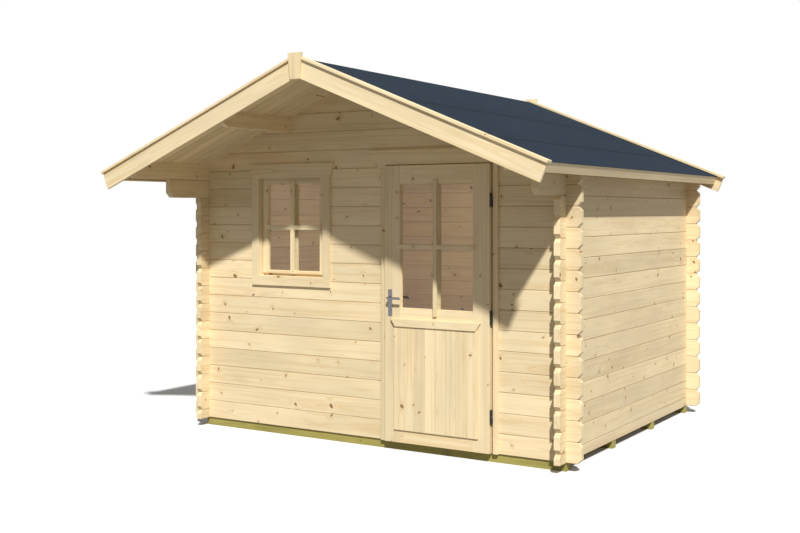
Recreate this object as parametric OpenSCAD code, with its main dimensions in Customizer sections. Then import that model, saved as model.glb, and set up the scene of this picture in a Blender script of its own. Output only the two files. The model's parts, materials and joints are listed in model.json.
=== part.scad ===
// Garden house of stacked interlocking logs, with a gabled roof that runs
// forward over the door and the window.
// The front looks along -Y. The floor level is z = 0, under the bearers, and
// the origin is under the middle of the whole outline.

/* [Walls] */
// Distance between the outer faces of the two side walls
body_w = 2960; // [2720:10:3200]
// Distance between the outer faces of the front and rear walls
body_d = 2450; // [1800:10:3000]
// Height of one log
log_h = 133; // [130:0.5:136]
// Thickness of the logs
log_t = 40; // [34:1:45]
// How far the log ends stand out past the corners
log_end = 100; // [80:5:120]
// Depth of the groove along each joint between two logs
groove = 4; // [2:0.5:5]
// Chamfer on the log ends
end_chamfer = 27; // [15:1:30]

/* [Roof] */
// Pitch of the roof in degrees
roof_angle = 22.3; // [21.8:0.1:22.5]
// Height of the ridge under the roof boards, from the foot of the walls
ridge_z = 2510; // [2500:1:2520]
// Thickness of the roof boards
board_t = 18; // [16:1:21]
// Thickness of the roofing felt
felt_t = 4; // [3:0.5:5]
// Distance from the middle to the upper edge of the fascia at the eaves
eave_x = 1672; // [1655:1:1680]
// How far the roof boards run forward of the front wall
canopy = 790; // [600:10:900]
// How far the roof boards run back past the rear wall
rear_overhang = 155; // [130:5:250]

/* [Roof trim] */
// Width of the barge boards
barge_w = 117; // [100:1:130]
// Thickness of the barge boards
barge_t = 20; // [16:1:24]
// Width of the cover strips on the barge boards
strip_w = 60; // [50:1:90]
// Thickness of the cover strips
strip_t = 17; // [14:1:20]
// Width of the fascia boards along the eaves, square to the slope
fascia_h = 69; // [60:1:80]

/* [Base] */
// Height of the treated bearers under the house
bearer_h = 58; // [40:1:80]
// Width of the bearers
bearer_w = 60; // [45:1:80]
// Thickness of the floor boards
floor_t = 18; // [16:1:28]

/* [Door] */
// Middle of the doorway, to the right of the middle of the front
door_x = 567.5; // [550:0.5:580]
// Width of the door leaf
leaf_w = 797; // [760:1:810]
// Height of the door leaf
leaf_h = 1869; // [1860:1:1875]
// Thickness of the door leaf
leaf_t = 40; // [36:1:44]
// Height of the lever handle's axis, from the foot of the walls
lever_z = 977; // [940:1:1010]

/* [Window] */
// Middle of the window, to the left of the middle of the front
window_x = 660.5; // [640:0.5:680]
// Width of the hole in the wall
window_w = 620; // [600:1:640]

/* [Hidden] */
$fn = 48;

// Colours
spruce = [0.93, 0.85, 0.67];
pale_spruce = [0.97, 0.90, 0.72];
treated = [0.72, 0.69, 0.36];
felt_blue = [0.20, 0.24, 0.29];
clear_pane = [0.75, 0.85, 0.88, 0.4];
steel = [0.72, 0.72, 0.72];
dark_iron = [0.12, 0.11, 0.10];

// Walls
side_out = body_w / 2;
side_in = side_out - log_t;
front_rows = 14;
sill_row = 8;
side_rows = 12;
wall_top = front_rows * log_h;
bracket_reach = 428;
bracket_chamfer = 36;
plate_chamfer = 14;

// Roof
tan_roof = tan(roof_angle);
cos_roof = cos(roof_angle);
sin_roof = sin(roof_angle);
roof_front = -canopy;
roof_back = body_d + rear_overhang;
trim_front = roof_front - barge_t;
trim_back = roof_back + barge_t;
barge_end_x = 1718;
felt_fold = 3;
fascia_t = 18;
down_slope = [cos_roof, -sin_roof];
up_normal = [sin_roof, cos_roof];
purlin_in = 656;
purlin_out = 696;
purlin_row = 16;
ridge_half = 20;
ridge_row = 18;
purlin_cut = 90;
strip_lip = 15;
strip_nose = 5;
ridge_gap = 0.5;
trim_n = board_t + felt_t;
seam = 0.02;
keystone_t = 25;
keystone_top = [52.5, 2562];
keystone_foot = [33.5, 2392];

// Base
bearer_count = 4;
bearer_in = 15;
bearer_short = 5;

// The whole outline is centred on the origin along Y
shift_y = -(trim_back + trim_front) / 2;

// Door
doorway_w = 845;
door_left = door_x - doorway_w / 2;
door_right = door_x + doorway_w / 2;
door_top = 1893;
lining_t = 11;
stop_w = 26;
stop_gap = 6;
threshold_h = 25;
casing_t = 18;
casing_w = 35;
casing_reach = 446.5;
post_left = door_x - casing_reach;
post_right = door_x + casing_reach - casing_w;
door_post_top = 1856;
door_head_top = 1980;
door_head_span = [90, 1045];
door_head_flare = 75;
head_proud = 2;
hinge_side_gap = 14;
leaf_right = post_right - hinge_side_gap;
leaf_left = leaf_right - leaf_w;
leaf_x = (leaf_left + leaf_right) / 2;
leaf_foot = 3;
leaf_head = leaf_foot + leaf_h;
stile_w = 120;
top_rail_z = 1748;
mid_rail_z = [787, 905];
low_rail_z = 90;
panel_border = 79;
panel_proud = 12;
panel_t = 18;
pane_t = 4;
rebate = 8;
door_bar_w = 29;
outer_bar_t = 15;
inner_bar_t = 12;
door_bar_z = [865, 1775];
door_bar_half = 293;
door_bar_mid_z = 1326;
drip_z = [787, 840];
drip_half = [307, 341];
drip_t = 22;
glass_low = [leaf_left + stile_w, mid_rail_z[1]];
glass_high = [leaf_right - stile_w, top_rail_z];
glass_y = -(leaf_t + pane_t) / 2;

// Hinges and lock
hinge_y = -34;
hinge_x = leaf_right + hinge_side_gap / 2;
hinge_r = 6;
pin_r = 4;
pin_play = 0.05;
hinge_h = 90;
hinge_split = 0.6;
hinge_z = [239, 876, 1636];
hinge_plate_t = 2;
hinge_plate_w = 30;
lever_x = leaf_left + 44;
plate_w = 30;
plate_t = 4;
plate_z = [856, 1034];
neck_r = 8;
neck_play = 0.06;
neck_room = 4;
neck_out = 44;
grip_l = 108;
grip_r = 9;
grip_t = 12;
cylinder_r = 8;
cylinder_z = 893;
cylinder_proud = 6;

// Window
window_foot = sill_row * log_h;
window_left = -window_x - window_w / 2;
window_right = -window_x + window_w / 2;
frame_t = 30;
sash_play = 2;
sash_y = [20, 42, 60];
sash_foot = 1111;
sash_lap = 15;
glass_half_w = 238;
glass_z = [1125, 1766];
bar_w = 33;
bar_lap = 14;
window_bar_z = 1446;
window_casing_w = 61;
window_casing_over = 41;
window_post_z = [1093, 1802];
window_head_top = 1906;
window_head_flare = 28;
window_board_foot = 1022;
pane_low = [-window_x - glass_half_w, glass_z[0]];
pane_high = [-window_x + glass_half_w, glass_z[1]];
pane_y = (sash_y[0] + sash_y[2]) / 2;
frame_low = [window_left + frame_t, window_foot + frame_t];
frame_high = [window_right - frame_t, wall_top - frame_t];

// Height of a line that runs n above the underside of the roof boards
function roof_z(x, n = 0) = ridge_z - abs(x) * tan_roof + n / cos_roof;

// Upper edge of the fascia, where the felt folds down
eave_corner = [eave_x, roof_z(eave_x, board_t)];

// Point at the eave: a way down the slope from the fascia's upper edge, and n
// above the underside of the roof boards
function eave_point(way, n) = eave_corner + way * down_slope + (n - board_t) * up_normal;

// Puts a part from the wall's own frame, with the front face at y = 0 and the
// foot of the walls at z = 0, into the frame of the house
module place() {
    translate([0, shift_y, bearer_h]) children();
}

// An outline in X and Z, made solid from y0 back to y1
module along_y(y0, y1) {
    translate([0, y1, 0]) rotate([90, 0, 0]) linear_extrude(y1 - y0) children();
}

// An outline in Y and Z, made solid from x0 across to x1
module along_x(x0, x1) {
    translate([x0, 0, 0]) rotate([90, 0, 90]) linear_extrude(x1 - x0) children();
}

// A box between two corners
module block(low, high) {
    translate(low) cube(high - low);
}

// A copy on the other side of the middle plane
module both_sides() {
    children();
    mirror([1, 0, 0]) children();
}

// Cross-section of a stack of logs of which row 0 starts at z0, with a
// V-groove on both faces at every joint
module log_section(rows, z0) {
    face = [for (n = [0:rows - 1])
        each [[groove, z0 + n * log_h], [0, z0 + n * log_h + groove],
              [0, z0 + (n + 1) * log_h - groove]]];
    rest = [for (n = [rows - 1:-1:0])
        each [[log_t, z0 + (n + 1) * log_h - groove], [log_t, z0 + n * log_h + groove],
              [log_t - groove, z0 + n * log_h]]];
    polygon(concat(face, [[groove, z0 + rows * log_h], [log_t - groove, z0 + rows * log_h]], rest));
}

// Outline of a stack of logs seen from its face, with chamfered ends
module stack_outline(end0, end1, rows, z0) {
    right = [for (n = [0:rows - 1])
        each [[end1 - end_chamfer, z0 + n * log_h], [end1, z0 + n * log_h + end_chamfer],
              [end1, z0 + (n + 1) * log_h - end_chamfer]]];
    left = [for (n = [rows - 1:-1:0])
        each [[end0, z0 + (n + 1) * log_h - end_chamfer], [end0, z0 + n * log_h + end_chamfer],
              [end0 + end_chamfer, z0 + n * log_h]]];
    polygon(concat(right, [[end1 - end_chamfer, z0 + rows * log_h],
                           [end0 + end_chamfer, z0 + rows * log_h]], left));
}

// Notches where the logs of the crossing wall pass, from c0 to c0 + log_t
module notches(c0, z_first, count) {
    for (n = [0:count - 1])
        translate([c0, z_first + (n - 0.25) * log_h]) square([log_t, log_h / 2]);
}

// A front or rear wall piece: the outline, as deep as the logs, with grooves
module front_logs(y0) {
    intersection() {
        along_x(-side_out - log_end, side_out + log_end)
            translate([y0, 0]) log_section(ridge_row + 1, 0);
        along_y(y0, y0 + log_t) children();
    }
}

// Outline of the front and rear walls up to the gable
module front_outline() {
    difference() {
        stack_outline(-side_out - log_end, side_out + log_end, front_rows, 0);
        notches(-side_out, 0, front_rows + 1);
        notches(side_in, 0, front_rows + 1);
    }
}

// Outline of the gable between the plate logs, notched round the purlins
module gable_outline() {
    difference() {
        polygon([[-side_in, wall_top], [side_in, wall_top], [side_in, roof_z(side_in)],
                 [0, ridge_z], [-side_in, roof_z(side_in)]]);
        for (side = [-1, 1]) translate([side * (purlin_in + purlin_out) / 2, 0])
            translate([-log_t / 2, purlin_row * log_h]) square([log_t, log_h]);
        translate([-ridge_half, ridge_row * log_h]) square([2 * ridge_half, log_h]);
    }
}

// A part of a 2D outline between two corners
module only(low, high) {
    intersection() {
        children();
        translate(low) square(high - low);
    }
}

module front_wall_lower() {
    color(spruce) place() front_logs(0)
        only([-body_w, 0], [door_left, window_foot]) front_outline();
}

module front_wall_left() {
    color(spruce) place() front_logs(0)
        only([-body_w, window_foot], [window_left, wall_top]) front_outline();
}

module front_wall_middle() {
    color(spruce) place() front_logs(0)
        only([window_right, window_foot], [door_left, wall_top]) front_outline();
}

module front_wall_right() {
    color(spruce) place() front_logs(0)
        only([door_right, 0], [body_w, wall_top]) front_outline();
}

module front_gable() {
    color(spruce) place() front_logs(0) difference() {
        gable_outline();
        translate([door_left, 0]) square([door_right - door_left, door_top]);
    }
}

module rear_wall() {
    color(spruce) place() front_logs(body_d - log_t) front_outline();
}

module rear_gable() {
    color(spruce) place() front_logs(body_d - log_t) gable_outline();
}

// Outline of a side wall: it starts with half a log
module side_outline() {
    difference() {
        intersection() {
            stack_outline(-log_end, body_d + log_end, side_rows + 1, -log_h / 2);
            translate([-log_end, 0]) square([body_d + 2 * log_end, body_w]);
        }
        notches(0, log_h / 2, side_rows);
        notches(body_d - log_t, log_h / 2, side_rows + 1);
        notches(0, log_h * (side_rows + 0.5), 1);
    }
}

module left_wall() {
    mirror([1, 0, 0]) right_wall();
}

module right_wall() {
    color(spruce) place() intersection() {
        along_y(-log_end, body_d + log_end)
            translate([side_in, 0]) log_section(side_rows + 1, -log_h / 2);
        along_x(side_in, side_out) side_outline();
    }
}

// The log under the plate log, which runs forward as a bracket
module bracket_logs() {
    foot = (side_rows + 0.5) * log_h;
    head = foot + log_h;
    color(spruce) place() both_sides() intersection() {
        along_y(-bracket_reach, body_d + log_end)
            translate([side_in, 0]) log_section(1, foot);
        along_x(side_in, side_out) difference() {
            polygon([[-bracket_reach + bracket_chamfer, foot],
                     [body_d + log_end - end_chamfer, foot],
                     [body_d + log_end, foot + end_chamfer],
                     [body_d + log_end, head - end_chamfer],
                     [body_d + log_end - end_chamfer, head],
                     [-bracket_reach, head],
                     [-bracket_reach, foot + bracket_chamfer]]);
            notches(0, foot, 2);
            notches(body_d - log_t, foot, 2);
        }
    }
}

// The top log of each side wall, bevelled under the roof
module plate_logs() {
    foot = (side_rows + 1.5) * log_h;
    color(spruce) place() both_sides() intersection() {
        along_y(roof_front, body_d + log_end)
            polygon([[side_in + groove, foot], [side_out - groove, foot],
                     [side_out, foot + groove], [side_out, roof_z(side_out)],
                     [side_in, roof_z(side_in)], [side_in, foot + groove]]);
        along_x(side_in, side_out) difference() {
            polygon([[roof_front + plate_chamfer, foot],
                     [body_d + log_end - end_chamfer, foot],
                     [body_d + log_end, foot + end_chamfer],
                     [body_d + log_end, ridge_z],
                     [roof_front, ridge_z],
                     [roof_front, foot + plate_chamfer]]);
            notches(0, foot, 1);
            notches(body_d - log_t, foot, 1);
        }
    }
}

// Lower line of a purlin, cut up slantwise at both ends
module purlin_outline(foot) {
    polygon([[roof_front + purlin_cut, foot], [roof_back - purlin_cut / 2, foot],
             [roof_back, foot + purlin_cut / 2], [roof_back, ridge_z + log_h],
             [roof_front, ridge_z + log_h], [roof_front, foot + purlin_cut / 2]]);
}

module roof_purlins() {
    foot = purlin_row * log_h;
    ridge_foot = ridge_row * log_h;
    color(spruce) place() {
        both_sides() intersection() {
            along_y(roof_front, roof_back)
                polygon([[purlin_in, foot], [purlin_out, foot],
                         [purlin_out, roof_z(purlin_out)], [purlin_in, roof_z(purlin_in)]]);
            along_x(purlin_in, purlin_out) purlin_outline(foot);
        }
        intersection() {
            along_y(roof_front, roof_back)
                polygon([[-ridge_half, ridge_foot], [ridge_half, ridge_foot],
                         [ridge_half, roof_z(ridge_half)], [0, ridge_z],
                         [-ridge_half, roof_z(ridge_half)]]);
            along_x(-ridge_half, ridge_half) purlin_outline(ridge_foot);
        }
    }
}

// Cross-section of a trim board of one roof slope, from n0 to n1 above the
// underside of the roof boards. Its end is cut square to the slope, in line
// with the upper corner of the barge board, or a nose further out
module trim_layer(n0, n1, nose = 0) {
    corner = [barge_end_x, roof_z(barge_end_x, trim_n)] + nose * down_slope;
    polygon([[ridge_gap, roof_z(ridge_gap, n0)],
             corner + (n0 - trim_n) * up_normal,
             corner + (n1 - trim_n) * up_normal,
             [ridge_gap, roof_z(ridge_gap, n1)]]);
}

// The boards end at the inner face of the fascia
module roof_boards_right() {
    boards_end = -fascia_t - seam;
    color(pale_spruce) place() along_y(roof_front, roof_back)
        polygon([[0, roof_z(0, seam)], eave_point(boards_end, seam),
                 eave_point(boards_end, board_t), [0, roof_z(0, board_t)]]);
}

module roof_boards_left() {
    mirror([1, 0, 0]) roof_boards_right();
}

// The felt of one slope, folded down over the fascia
module felt_right() {
    foot = board_t - felt_fold;
    under = board_t + seam;
    outer = seam + felt_t;
    color(felt_blue) place() along_y(roof_front, roof_back)
        polygon([[0, roof_z(0, under)], eave_point(seam, under), eave_point(seam, foot),
                 eave_point(outer, foot), eave_point(outer, trim_n), [0, roof_z(0, trim_n)]]);
}

module felt_left() {
    mirror([1, 0, 0]) felt_right();
}

module eave_fascias() {
    foot = board_t - fascia_h;
    color(spruce) place() both_sides() along_y(roof_front, roof_back)
        polygon([eave_point(0, board_t), eave_point(-fascia_t, board_t),
                 eave_point(-fascia_t, foot), eave_point(0, foot)]);
}

module barge_pair(y0, y1) {
    color(pale_spruce) place() both_sides()
        along_y(y0, y1) trim_layer(trim_n - barge_w, trim_n);
}

module front_barge_boards() {
    barge_pair(trim_front, roof_front);
}

module rear_barge_boards() {
    barge_pair(roof_back, trim_back);
}

module cover_pair(y0, y1) {
    color(pale_spruce) place() both_sides()
        along_y(y0, y1) trim_layer(trim_n + seam, trim_n + strip_t, strip_nose);
}

// The keystones take the place of the strips' lips at the ridge
module keystone_outline() {
    polygon([[-keystone_foot[0], keystone_foot[1]], keystone_foot,
             keystone_top, [-keystone_top[0], keystone_top[1]]]);
}

module front_cover_strips() {
    difference() {
        cover_pair(trim_front - strip_lip, trim_front - strip_lip + strip_w);
        place() along_y(trim_front - keystone_t, trim_front) keystone_outline();
    }
}

module rear_cover_strips() {
    difference() {
        cover_pair(trim_back + strip_lip - strip_w, trim_back + strip_lip);
        place() along_y(trim_back, trim_back + keystone_t) keystone_outline();
    }
}

module ridge_keystones() {
    color(pale_spruce) place() {
        along_y(trim_front - keystone_t, trim_front) keystone_outline();
        along_y(trim_back, trim_back + keystone_t) keystone_outline();
    }
}

module bearers() {
    last = body_d - bearer_in - bearer_w;
    half = side_out - bearer_short;
    color(treated) translate([0, shift_y, 0]) for (n = [0:bearer_count - 1]) {
        y0 = bearer_in + n * (last - bearer_in) / (bearer_count - 1);
        block([-half, y0, 0], [half, y0 + bearer_w, bearer_h]);
    }
}

module floor_deck() {
    color(pale_spruce) place()
        block([-side_in, log_t, 0], [side_in, body_d - log_t, floor_t]);
}

// A flat ring in X and Z
module ring(low, high, border) {
    difference() {
        translate(low) square(high - low);
        translate(low + [border, border]) square(high - low - 2 * [border, border]);
    }
}

module window_frame() {
    color(pale_spruce) place() along_y(0, log_t)
        ring([window_left, window_foot], [window_right, wall_top], frame_t);
}

module window_pane() {
    block([pane_low[0] - rebate, pane_y, pane_low[1] - rebate],
          [pane_high[0] + rebate, pane_y + pane_t, pane_high[1] + rebate]);
}

// A layer of the sash between y0 and y1, from one corner to the other
module sash_layer(y0, y1, low, high) {
    along_y(y0, y1) difference() {
        translate(low) square(high - low);
        translate(pane_low) square(pane_high - pane_low);
    }
}

// The sash stands in the frame, with a drip gap under it, and laps over the
// inside of the frame
module window_sash() {
    play = [sash_play, sash_play];
    lap = [sash_lap, sash_lap];
    color(pale_spruce) place() difference() {
        union() {
            sash_layer(sash_y[0], sash_y[1], [frame_low[0] + sash_play, sash_foot],
                       frame_high - play);
            sash_layer(sash_y[1] - 1, sash_y[2], frame_low - lap, frame_high + lap);
        }
        window_pane();
    }
}

module window_glass() {
    color(clear_pane) place() window_pane();
}

// A cross of bars on both faces of the sash
module window_bars() {
    middle = (pane_low[0] + pane_high[0]) / 2;
    color(pale_spruce) place()
        for (y = [[sash_y[0] - inner_bar_t, sash_y[0]], [sash_y[2], sash_y[2] + inner_bar_t]])
            along_y(y[0], y[1]) {
                translate([middle - bar_w / 2, pane_low[1] - bar_lap])
                    square([bar_w, pane_high[1] - pane_low[1] + 2 * bar_lap]);
                translate([pane_low[0] - bar_lap, window_bar_z - bar_w / 2])
                    square([pane_high[0] - pane_low[0] + 2 * bar_lap, bar_w]);
            }
}

module window_posts() {
    left = window_left - window_casing_over;
    right = window_right + window_casing_over - window_casing_w;
    color(pale_spruce) place() for (x = [left, right])
        block([x, -casing_t, window_post_z[0]], [x + window_casing_w, 0, window_post_z[1]]);
}

// A head board that is wider at the top than at the foot
module head_board(left, right, foot, head, flare) {
    along_y(-casing_t - head_proud, 0)
        polygon([[left, foot], [right, foot], [right + flare, head], [left - flare, head]]);
}

module window_boards() {
    left = window_left - window_casing_over;
    right = window_right + window_casing_over;
    color(pale_spruce) place() {
        head_board(left, right, window_post_z[1], window_head_top, window_head_flare);
        block([left, -casing_t, window_board_foot], [right, 0, window_post_z[0]]);
    }
}

// A lining on each side of the doorway, with the stop that the leaf shuts on
module door_jambs() {
    stop_top = door_top - lining_t - stop_w;
    color(spruce) place() for (side = [-1, 1])
        translate([door_x, 0, 0]) mirror([side > 0 ? 1 : 0, 0, 0])
            translate([-doorway_w / 2, 0, 0]) {
                block([0, 0, 0], [lining_t, log_t, door_top]);
                block([lining_t, stop_gap, 0], [lining_t + stop_w, log_t, stop_top]);
            }
}

module door_head_jamb() {
    color(spruce) place() along_x(door_left + lining_t, door_right - lining_t)
        polygon([[0, door_top], [0, door_top - lining_t], [stop_gap, door_top - lining_t],
                 [stop_gap, door_top - lining_t - stop_w],
                 [log_t, door_top - lining_t - stop_w], [log_t, door_top]]);
}

module door_threshold() {
    color(spruce) place()
        block([door_left + lining_t + stop_w, stop_gap, 0],
              [door_right - lining_t - stop_w, log_t, threshold_h]);
}

module door_posts() {
    color(pale_spruce) place() for (x = [post_left, post_right])
        block([x, -casing_t, 0], [x + casing_w, 0, door_post_top]);
}

module door_head_board() {
    room = 6;
    color(pale_spruce) place() difference() {
        head_board(door_head_span[0], door_head_span[1], door_post_top, door_head_top,
                   door_head_flare);
        block([post_left + casing_w, -casing_t - head_proud, door_post_top - room],
              [post_right, 0, leaf_head + room]);
    }
}

module door_pane() {
    block([glass_low[0] - rebate, glass_y, glass_low[1] - rebate],
          [glass_high[0] + rebate, glass_y + pane_t, glass_high[1] + rebate]);
}

// The lower panel is let into the frame and stands a little proud of it
module door_panel() {
    face = -leaf_t - panel_proud;
    color(pale_spruce) place()
        block([leaf_left + panel_border, face, low_rail_z],
              [leaf_right - panel_border, face + panel_t, mid_rail_z[0]]);
}

module door_stiles() {
    color(pale_spruce) place() difference() {
        union() {
            block([leaf_left, -leaf_t, leaf_foot], [leaf_left + stile_w, 0, leaf_head]);
            block([leaf_right - stile_w, -leaf_t, leaf_foot], [leaf_right, 0, leaf_head]);
        }
        door_pane();
        block([leaf_left + panel_border, -leaf_t, low_rail_z],
              [leaf_right - panel_border, panel_t - leaf_t - panel_proud, mid_rail_z[0]]);
        translate([lever_x, 0, lever_z]) rotate([90, 0, 0])
            cylinder(r = neck_r + neck_room, h = 4 * leaf_t, center = true);
        translate([lever_x, 0, cylinder_z]) rotate([90, 0, 0])
            cylinder(r = cylinder_r, h = 4 * leaf_t, center = true);
    }
}

module door_rails() {
    left = leaf_left + stile_w;
    right = leaf_right - stile_w;
    color(pale_spruce) place() difference() {
        union() {
            block([left, -leaf_t, leaf_foot], [right, 0, low_rail_z]);
            block([left, -leaf_t, mid_rail_z[0]], [right, 0, mid_rail_z[1]]);
            block([left, -leaf_t, top_rail_z], [right, 0, leaf_head]);
        }
        door_pane();
    }
}

// A board under the glass that throws the rain clear of the panel
module door_drip_cap() {
    color(pale_spruce) place() along_y(-leaf_t - drip_t, -leaf_t)
        polygon([[leaf_x - drip_half[0], drip_z[0]], [leaf_x + drip_half[0], drip_z[0]],
                 [leaf_x + drip_half[1], drip_z[1]], [leaf_x - drip_half[1], drip_z[1]]]);
}

// A cross of bars on both faces of the leaf
module door_bars() {
    color(pale_spruce) place()
        for (y = [[-leaf_t - outer_bar_t, -leaf_t], [0, inner_bar_t]])
            along_y(y[0], y[1]) {
                translate([leaf_x - door_bar_w / 2, door_bar_z[0]])
                    square([door_bar_w, door_bar_z[1] - door_bar_z[0]]);
                translate([leaf_x - door_bar_half, door_bar_mid_z - door_bar_w / 2])
                    square([2 * door_bar_half, door_bar_w]);
            }
}

module door_glass() {
    color(clear_pane) place() door_pane();
}

// Upper knuckle of each hinge, on a plate along the edge of the leaf
module leaf_hinges() {
    color(dark_iron) place() for (z = hinge_z) difference() {
        union() {
            translate([hinge_x, hinge_y, z + hinge_split / 2])
                cylinder(r = hinge_r, h = hinge_h / 2 - hinge_split / 2);
            block([leaf_right, hinge_y, z + hinge_split / 2],
                  [leaf_right + hinge_plate_t, hinge_y + hinge_plate_w, z + hinge_h / 2]);
        }
        translate([hinge_x, hinge_y, z - hinge_h])
            cylinder(r = pin_r + pin_play, h = 2 * hinge_h);
    }
}

// Lower knuckle of each hinge with its pin, on a plate along the casing
module frame_hinges() {
    color(dark_iron) place() for (z = hinge_z) {
        translate([hinge_x, hinge_y, z - hinge_h / 2])
            cylinder(r = hinge_r, h = hinge_h / 2 - hinge_split / 2);
        translate([hinge_x, hinge_y, z - hinge_h / 2])
            cylinder(r = pin_r, h = hinge_h);
        block([post_right - hinge_plate_t, hinge_y, z - hinge_h / 2],
              [post_right, hinge_y + hinge_plate_w, z - hinge_split / 2]);
    }
}

module lock_plates() {
    color(steel) place() difference() {
        union() {
            for (y0 = [-leaf_t - plate_t, 0])
                block([lever_x - plate_w / 2, y0, plate_z[0]],
                      [lever_x + plate_w / 2, y0 + plate_t, plate_z[1]]);
            translate([lever_x, plate_t + cylinder_proud, cylinder_z]) rotate([90, 0, 0])
                cylinder(r = cylinder_r, h = leaf_t + 2 * (plate_t + cylinder_proud));
        }
        translate([lever_x, 0, lever_z]) rotate([90, 0, 0])
            cylinder(r = neck_r + neck_play, h = 4 * leaf_t, center = true);
    }
}

// A flat lever grip with round ends, from the neck's axis along +X
module grip(y0) {
    along_y(y0, y0 + grip_t) translate([0, -grip_r]) square([grip_l - grip_r, 2 * grip_r]);
    for (x = [0, grip_l - grip_r])
        translate([x, y0 + grip_t, 0]) rotate([90, 0, 0]) cylinder(r = grip_r, h = grip_t);
}

module door_lever() {
    out_y = -leaf_t - plate_t - neck_out;
    in_y = plate_t + neck_out;
    color(steel) place() translate([lever_x, 0, lever_z]) {
        translate([0, in_y, 0]) rotate([90, 0, 0]) cylinder(r = neck_r, h = in_y - out_y);
        grip(out_y - grip_t / 2);
        grip(in_y - grip_t / 2);
    }
}

bearers();
floor_deck();
front_wall_lower();
front_wall_left();
front_wall_middle();
front_wall_right();
front_gable();
rear_wall();
rear_gable();
left_wall();
right_wall();
bracket_logs();
plate_logs();
roof_purlins();
roof_boards_left();
roof_boards_right();
felt_left();
felt_right();
eave_fascias();
front_barge_boards();
rear_barge_boards();
front_cover_strips();
rear_cover_strips();
ridge_keystones();
window_frame();
window_sash();
window_glass();
window_bars();
window_posts();
window_boards();
door_jambs();
door_head_jamb();
door_threshold();
door_posts();
door_head_board();
door_stiles();
door_rails();
door_panel();
door_drip_cap();
door_bars();
door_glass();
leaf_hinges();
frame_hinges();
lock_plates();
door_lever();
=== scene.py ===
"""Finishes of a small log garden house: grained logs and boards, felt, glass and metalwork."""

import json
import math
from random import Random

import bmesh
import bpy
from bpy.props import FloatProperty, FloatVectorProperty, IntProperty, PointerProperty
from mathutils import Matrix, Vector

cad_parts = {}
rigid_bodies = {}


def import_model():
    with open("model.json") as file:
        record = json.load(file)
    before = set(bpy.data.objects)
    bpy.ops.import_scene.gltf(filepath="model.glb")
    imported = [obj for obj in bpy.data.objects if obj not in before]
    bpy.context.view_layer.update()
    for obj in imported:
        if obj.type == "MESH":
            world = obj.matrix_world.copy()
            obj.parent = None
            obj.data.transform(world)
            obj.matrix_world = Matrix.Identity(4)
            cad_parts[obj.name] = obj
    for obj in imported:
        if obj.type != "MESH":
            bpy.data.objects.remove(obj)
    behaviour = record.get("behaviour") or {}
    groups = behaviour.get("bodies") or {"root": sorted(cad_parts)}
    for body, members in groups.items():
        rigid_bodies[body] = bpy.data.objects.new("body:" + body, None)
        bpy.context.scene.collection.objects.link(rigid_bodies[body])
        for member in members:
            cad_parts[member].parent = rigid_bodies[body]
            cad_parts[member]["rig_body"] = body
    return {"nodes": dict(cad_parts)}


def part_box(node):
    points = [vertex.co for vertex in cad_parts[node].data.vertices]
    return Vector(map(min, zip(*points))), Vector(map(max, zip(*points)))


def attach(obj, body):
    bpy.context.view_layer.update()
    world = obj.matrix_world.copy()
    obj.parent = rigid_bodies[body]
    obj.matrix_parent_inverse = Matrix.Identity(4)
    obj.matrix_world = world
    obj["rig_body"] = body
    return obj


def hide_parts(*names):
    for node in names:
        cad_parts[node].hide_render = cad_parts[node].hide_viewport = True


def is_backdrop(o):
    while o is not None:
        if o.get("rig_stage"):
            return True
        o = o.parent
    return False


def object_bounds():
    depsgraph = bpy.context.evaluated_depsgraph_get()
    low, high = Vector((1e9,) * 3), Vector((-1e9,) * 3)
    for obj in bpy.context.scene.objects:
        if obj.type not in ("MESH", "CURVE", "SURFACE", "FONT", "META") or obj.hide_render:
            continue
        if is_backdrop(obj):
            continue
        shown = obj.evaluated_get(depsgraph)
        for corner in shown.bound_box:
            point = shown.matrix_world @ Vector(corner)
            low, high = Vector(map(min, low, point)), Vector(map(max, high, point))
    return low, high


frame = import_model()
CAD_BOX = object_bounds()

bl_info = {
    "name": "Log Garden House",
    "version": (1, 0, 0),
    "blender": (4, 5, 0),
    "location": "3D View > Sidebar > Garden House",
    "description": "Finishes a log garden house piece by piece",
    "category": "Add Mesh",
}

X, Y, Z = Vector((1, 0, 0)), Vector((0, 1, 0)), Vector((0, 0, 1))
MM = 0.001

# Points closer than this are one, and faces that turn less are one
MERGE = 0.02 * MM
FLAT = math.radians(0.5)
# An edge turns by more than this before it is rounded, or kept crisp in shading
ROUNDED_FROM = math.radians(28)
CRISP_FROM = math.radians(35)

# Rounding of single pieces
PURLIN_EDGE = 2 * MM
BEARER_EDGE = 2.5 * MM
TRIM_EDGE = 3 * MM
BAR_EDGE = 3 * MM
BEAD_EDGE = 0.8 * MM
THIN_EDGE = 0.5 * MM
PLATE_EDGE = 1.2 * MM

# Grooves between boards: half the width, and the depth
FLOOR_GROOVE = (2 * MM, 2 * MM)
PANEL_GROOVE = (2.5 * MM, 3 * MM)

# Joinery and fittings
BAR_HALF = 17 * MM
WINDOW_FRAME_W = 30 * MM
WINDOW_BEAD_SET = (4 * MM, 2 * MM)
DOOR_BEAD_SET = (6 * MM, 4 * MM)
PLATE_T = 4 * MM
SCREW_INSET = 10 * MM
SCREW_RADIUS = 3.5 * MM

FLOOR_RADIUS = 60
SENSOR_WIDTH = 36.0


# ---------------------------------------------------------------- settings


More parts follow.
